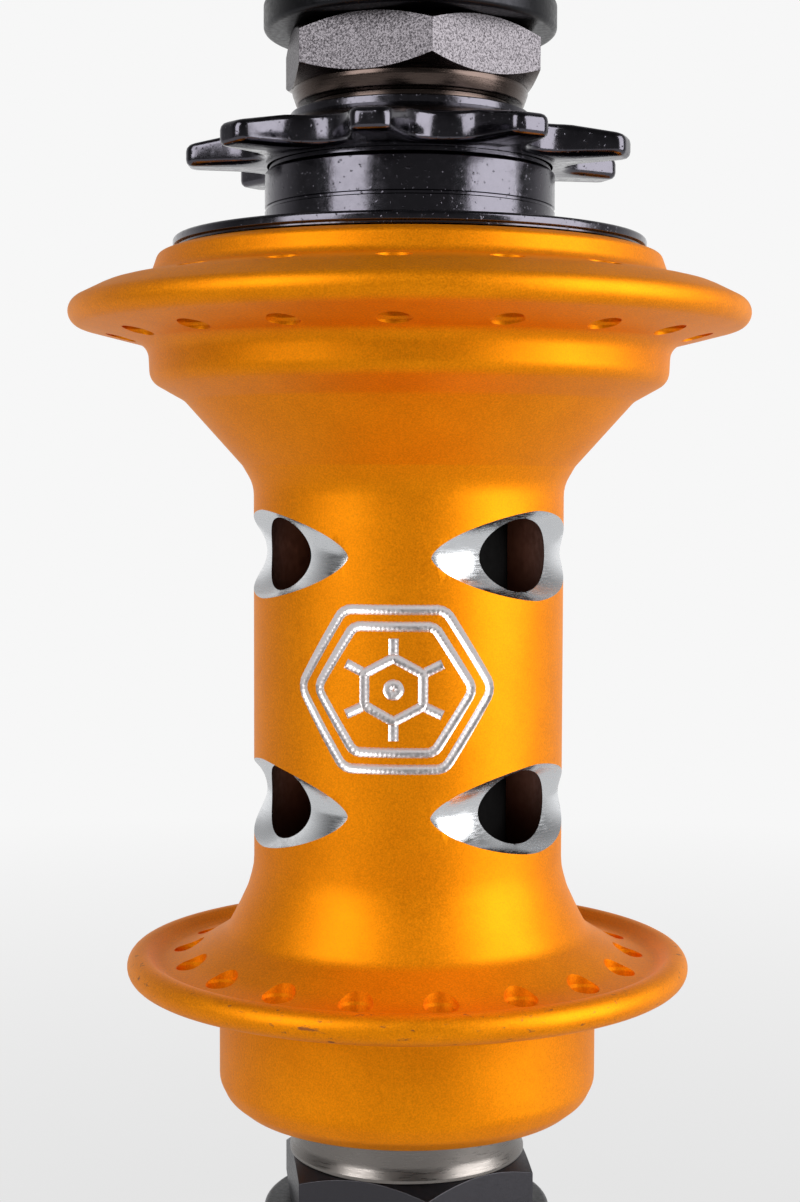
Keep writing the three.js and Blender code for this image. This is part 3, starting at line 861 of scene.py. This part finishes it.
def hex_nut(name, node, slot, corner, flats, chamfers, low, high):
    """A nut from its corner radius, its two finishes and its lower and upper end."""
    bar = [[point(corner, NUT_TURN + FULL_TURN * k / 6, h) for k in range(6)]
           for h in (low - 0.5, high + 0.5)]
    nut = skin(name, bar, flats, capped=True)
    face = corner * FACE_SHARE
    clear = corner + 0.4
    drop = (clear - face) * math.tan(CHAMFER)
    turning = turned("turning", [
        (NUT_BORE, low, 0), (face, low, 0), (clear, low + drop, 0), (clear, high - drop, 0),
        (face, high, 0), (NUT_BORE, high, 0)], chamfers)
    cut(nut, turning, "INTERSECT")
    soften(nut, 0.09)
    fit(nut, "axle_set", slot, node)


print("22 mm across flats is", round(22 / math.sqrt(3), 2), "mm from the middle to a corner")

# %% [markdown]
# Two large cone nuts hold the bearings, and two smaller nuts hold the hub in the frame. The
# drive-side cone nut also has a collar below its hexagon, which hollows in like a bell.

# %% Four nuts and a collar
CONE_CORNER = 12.7
HEXAGON_HEIGHT = 5.17
COLLAR_LOW, COLLAR_NECK = 45.4, 9.3
NUT_TOP = reach("drive_cone_nut")[3]
NUT_FACE = NUT_TOP - HEXAGON_HEIGHT
hex_nut("drive cone nut", "drive_cone_nut", "dark_steel", CONE_CORNER, nut_flat, nut_turned,
        NUT_FACE, NUT_TOP)
hex_nut("plain cone nut", "plain_cone_nut", "dark_steel", CONE_CORNER, nut_black, nut_black,
        *reach("plain_cone_nut")[2:])
for side in ("drive", "plain"):
    node = side + "_axle_nut"
    hex_nut(side + " axle nut", node, "black_nut", reach(node)[1], black_oxide, black_oxide,
            *reach(node)[2:])
collar = turned("cone nut collar", [
    (NUT_BORE, COLLAR_LOW, 0), (COLLAR_NECK, COLLAR_LOW, 0), (COLLAR_NECK, 48.36, 0.1),
    (10.55, 48.36, 0.25), (10.75, 48.9, 0.5), (10.95, 49.5, 0.5), (10.9, NUT_FACE, 0),
    (10.5, NUT_FACE + 0.3, 0), (NUT_BORE, NUT_FACE + 0.3, 0)], nut_turned)
fit(collar, "axle_set", "dark_steel", "drive_cone_nut")

# %% [markdown]
# ## The axle
# The axle has a 1 mm thread on both ends. A thread is one long ramp, so the surface is a stack
# of rings whose radius follows a saw-tooth that shifts by one pitch per turn. Only the parts
# outside the nuts are threaded here; the rest is covered.

# %% Threaded axle
AXLE_LOW, AXLE_HIGH = reach("axle")[2:]
THREAD_RADIUS = 7.0
THREAD_PITCH = 1.0
THREAD_DEPTH = 0.55
END_CHAMFER = 0.9
AXLE_AROUND = 48
NUT_OUTSIDE = reach("drive_axle_nut")[3]


def axle_ring(height):
    """One ring of the threaded ends, chamfered where it nears the axle's end."""
    ring = []
    from_end = min(height - AXLE_LOW, AXLE_HIGH - height)
    limit = min(THREAD_RADIUS, THREAD_RADIUS - END_CHAMFER + from_end)
    for k in range(AXLE_AROUND):
        turn = k / AXLE_AROUND
        wave = abs(2 * ((height / THREAD_PITCH - turn) % 1) - 1)
        depth = THREAD_DEPTH * min(1, max(0, 1.25 * wave - 0.12))
        ring.append(point(min(limit, THREAD_RADIUS - depth), FULL_TURN * turn, height))
    return ring


thread_length = AXLE_HIGH - NUT_OUTSIDE
steps = round(thread_length * 10)
lower_thread = [axle_ring(AXLE_LOW + thread_length * k / steps) for k in range(steps + 1)]
upper_thread = [axle_ring(NUT_OUTSIDE + thread_length * k / steps) for k in range(steps + 1)]
middle_rings = [[point(radius, FULL_TURN * k / AXLE_AROUND, height) for k in range(AXLE_AROUND)]
                for radius, height in ((7, -66), (7, -44.4), (7.5, -44.4), (7.5, 45.4),
                                       (7, 45.4), (7, 66))]
axle = skin("axle finish", lower_thread + middle_rings + upper_thread, black_oxide, capped=True,
            sharp=60)
print("threaded ends (mm):", round(thread_length, 1))
fit(axle, "axle_set", "black_axle", "axle")

# %% [markdown]
# ## Bearings
# Four cartridge bearings sit between the axle and the turning parts. Only their seals show, in
# the mouths of the shell and the driver. Each is made the same way from its races' sizes, which
# come from the CAD. The races are turned rings with a groove for the balls.

# %% Bearing races
def races(name, title, body, low, width, ball, bore, rim):
    circle, high, middle = (bore + rim) / 2, low + width, low + width / 2
    inner_lip, outer_lip = circle - 0.55 * ball, circle + 0.55 * ball
    inner_race = turned(name + " inner race", [
        (bore, low, 0.2), (inner_lip, low, 0.1), (inner_lip, middle - ball, 0),
        (circle - ball - 0.1, middle, 0), (inner_lip, middle + ball, 0),
        (inner_lip, high, 0.1), (bore, high, 0.2)], ground_steel, ROUND)
    fit(inner_race, "axle_set", "bearing_steel", title + "_inner_race")
    outer_race = turned(name + " outer race", [
        (rim, low, 0.25), (rim, high, 0.25), (outer_lip, high, 0.1), (outer_lip, middle + ball, 0),
        (circle + ball + 0.1, middle, 0), (outer_lip, middle - ball, 0),
        (outer_lip, low, 0.1)], ground_steel, ROUND)
    fit(outer_race, body, "bearing_steel", title + "_outer_race")


print("shell bearing bore and rim (mm):", round(2 * reach("shell_plain_bearing_inner_race")[0], 1),
      round(2 * reach("shell_plain_bearing_outer_race")[1], 1))

# %% [markdown]
# Seven balls run between the races, held apart by a cage. They turn at their own speed, a
# little over half that of the race that turns, so they ride on a body of their own.

# %% Balls and cage
BALLS = 7


def ball_rings(centre, radius):
    """A ball as a stack of rings; its poles are closed by tiny flat caps."""
    layers = []
    for level in range(1, 12):
        tilt = math.pi * level / 12 - math.pi / 2
        layers.append([centre + radius * Vector((
            math.cos(tilt) * math.cos(FULL_TURN * j / 20),
            math.cos(tilt) * math.sin(FULL_TURN * j / 20), math.sin(tilt))) for j in range(20)])
    return layers


def balls_and_cage(name, title, circle, middle, ball):
    thin, tall = 0.25 * ball, 0.8 * ball
    parts = [turned("cage ring", [
        (circle - thin, middle - tall, 0), (circle + thin, middle - tall, 0),
        (circle + thin, middle + tall, 0), (circle - thin, middle + tall, 0),
    ], ground_steel, ROUND)]
    for k in range(BALLS):
        turn = FULL_TURN * k / BALLS
        centre = Vector((circle * math.cos(turn), circle * math.sin(turn), 0)) * MM
        centre.z = MIDDLE + middle * MM
        parts.append(skin("ball", ball_rings(centre, ball * MM), ground_steel, capped=True))
    cage = joined(name + " balls and cage", parts)
    smooth(cage.data)
    fit(cage, name + "_cage", "bearing_steel", title + "_ball_cage")


print("a ball has", len(ball_rings(Vector(), 1)), "rings")

# %% [markdown]
# Two thin rubber seals close each bearing, and then all four can be built. Their height and
# width are given here; the bores and rims are read from the CAD races.

# %% Seals and all four bearings
SEAL_EDGE = 0.3  # edge radius as a share of the seal's thickness
BALL_SHARE = 0.27  # ball radius as a share of the room between bore and rim


def seals(name, title, body):
    for end in ("lower", "upper"):
        node = f"{title}_{end}_seal"
        inside, outside, low, high = reach(node)
        edge = (high - low) * SEAL_EDGE
        seal = turned(f"{name} {end} seal", [
            (inside, low, edge), (outside, low, edge), (outside, high, edge),
            (inside, high, edge)], seal_rubber, around=96)
        fit(seal, body, "seal_rubber", node)


BEARINGS = {
    "shell_plain": ("shell", -44.0, 7.0), "shell_drive": ("shell", 14.3, 7.0),
    "driver_inner": ("driver", 24.6, 5.0), "driver_outer": ("driver", 40.4, 5.0),
}
for name, (body, low, width) in BEARINGS.items():
    title = name + "_bearing"
    bore, rim = reach(title + "_inner_race")[0], reach(title + "_outer_race")[1]
    ball = BALL_SHARE * (rim - bore)
    races(name, title, body, low, width, ball, bore, rim)
    balls_and_cage(name, title, (bore + rim) / 2, low + width / 2, ball)
    seals(name, title, body)

# %% [markdown]
# ## The freewheel
# The ratchet ring, the pawls and their leaf springs are closed in by the shell, the carrier and
# the dust shield. Their CAD shapes are already right, so they stay and only get their finish.

# %% Ratchet and pawls
CAD_FINISHES = {"ratchet_ring": ground_steel}
for i in range(1, 5):
    CAD_FINISHES[f"pawl_{i}"] = dark_steel
    CAD_FINISHES[f"pawl_spring_{i}"] = spring_steel
for name, material in CAD_FINISHES.items():
    for holder in nodes[name].material_slots:
        holder.material = material
print("CAD pieces kept:", ", ".join(CAD_FINISHES))

# %% [markdown]
# ## Light and floor
# A shiny round part needs large soft sources on both sides, because it mirrors them as long calm
# highlights; small lamps would show as dots. Here two area lights are the softboxes. Their
# angles are what the hub sees, so they can be judged like the windows of a room.

# %% Softboxes
HUB_CENTRE = Vector((0, 0, MIDDLE))


def softbox(name, azimuth, elevation, width, height, radiance, distance=1.0):
    """A rectangular light, `width` and `height` in degrees as seen from the hub."""
    light = bpy.data.lights.new(name, "AREA")
    light.shape = "RECTANGLE"
    light.size = 2 * distance * math.tan(math.radians(width / 2))
    light.size_y = 2 * distance * math.tan(math.radians(height / 2))
    light.energy = radiance * math.pi * light.size * light.size_y
    box = bpy.data.objects.new(name, light)
    a, e = math.radians(azimuth), math.radians(elevation)
    aim = Vector((math.sin(a) * math.cos(e), -math.cos(a) * math.cos(e), math.sin(e)))
    box.location = HUB_CENTRE + aim * distance
    box.rotation_euler = aim.to_track_quat("Z", "Y").to_euler()
    box.visible_camera = False
    bpy.context.collection.objects.link(box)
    print(f"{name}: {light.size:.2f} by {light.size_y:.2f} m, {light.energy:.1f} W")


softbox("left softbox", -48, 27, 30, 50, 4.5)
softbox("right softbox", 69, 17, 44, 60, 4.9)

# %% [markdown]
# The room round the hub is the world. Behind the hub it is as bright as a paper backdrop, so the
# edges glow; in front and overhead it is dim, so a calm dark band stays between the highlights.
# The ramps follow the direction in the room. Only the view itself sees one even backdrop.

# %% World
BACKDROP = 0.93
DIM, BRIGHT = 0.12, 0.95
OVERHEAD = 0.45
world = bpy.data.worlds.new("studio")
bpy.context.scene.world = world
world.use_nodes = True
toward = add(world, "SeparateXYZ", {"Vector": add(world, "TexCoord").outputs["Generated"]})
room = add(world, "MapRange", {"Value": toward.outputs["Y"], "From Max": 0.95, "To Min": DIM,
                               "To Max": BRIGHT}, interpolation_type="SMOOTHSTEP")
dimmed = add(world, "MapRange", {"Value": toward.outputs["Z"], "From Min": 0.1, "From Max": 0.55,
                                 "To Min": 1.0, "To Max": OVERHEAD})
lit = add(world, "Math", {0: room, 1: dimmed}, operation="MULTIPLY")
seen = add(world, "LightPath").outputs["Is Camera Ray"]
level = add(world, "Mix", {"Factor": seen, "A": lit, "B": BACKDROP}, data_type="FLOAT")
plug(world, world.node_tree.nodes["Background"], {"Color": (1, 1, 1, 1), "Strength": level})
bpy.context.scene.view_settings.view_transform = "Standard"
print("backdrop level:", BACKDROP)

# %% [markdown]
# The floor is a pale disc. Near the hub it is matt paper that takes a soft shadow; farther out
# it fades into an even glow as bright as the backdrop, so no edge or horizon shows. The glow
# that lights the hub from below is kept weaker than the one that is seen.

# %% Floor
FLOOR_RADIUS = 0.45
GLOW_FROM_BELOW = 0.65
floor_finish, shader = finish("pale studio floor", "#e6e6e6", 0.0, 0.9)
spot = add(floor_finish, "TexCoord").outputs["Object"]
away = add(floor_finish, "VectorMath", {0: spot}, operation="LENGTH")
fade = add(floor_finish, "MapRange", {"Value": away, "From Min": 0.035, "From Max": 0.08})
paper = add(floor_finish, "MapRange", {"Value": away, "From Min": 0.09, "From Max": 0.4,
                                       "To Min": 0.78, "To Max": BACKDROP})
seen = add(floor_finish, "LightPath").outputs["Is Camera Ray"]
strength = add(floor_finish, "Mix", {"Factor": seen, "A": GLOW_FROM_BELOW, "B": paper},
               data_type="FLOAT")
glow = add(floor_finish, "Emission", {"Strength": strength})
surface = add(floor_finish, "MixShader", {0: fade, 1: shader.outputs["BSDF"], 2: glow})
plug(floor_finish, floor_finish.node_tree.nodes["Material Output"], {"Surface": surface})
rings = [[Vector((FLOOR_RADIUS * math.cos(FULL_TURN * k / 64),
                  FLOOR_RADIUS * math.sin(FULL_TURN * k / 64), z)) for k in range(64)]
         for z in (-0.002, 0.0)]
skin("floor", rings, floor_finish, capped=True)
print("floor (m):", 2 * FLOOR_RADIUS)

# %% [markdown]
# ## Sizes
# The last step prints the size of the CAD model's box.

# %% Finish
print("CAD box (mm):", [round(v / MM, 2) for v in cad_high - cad_low])
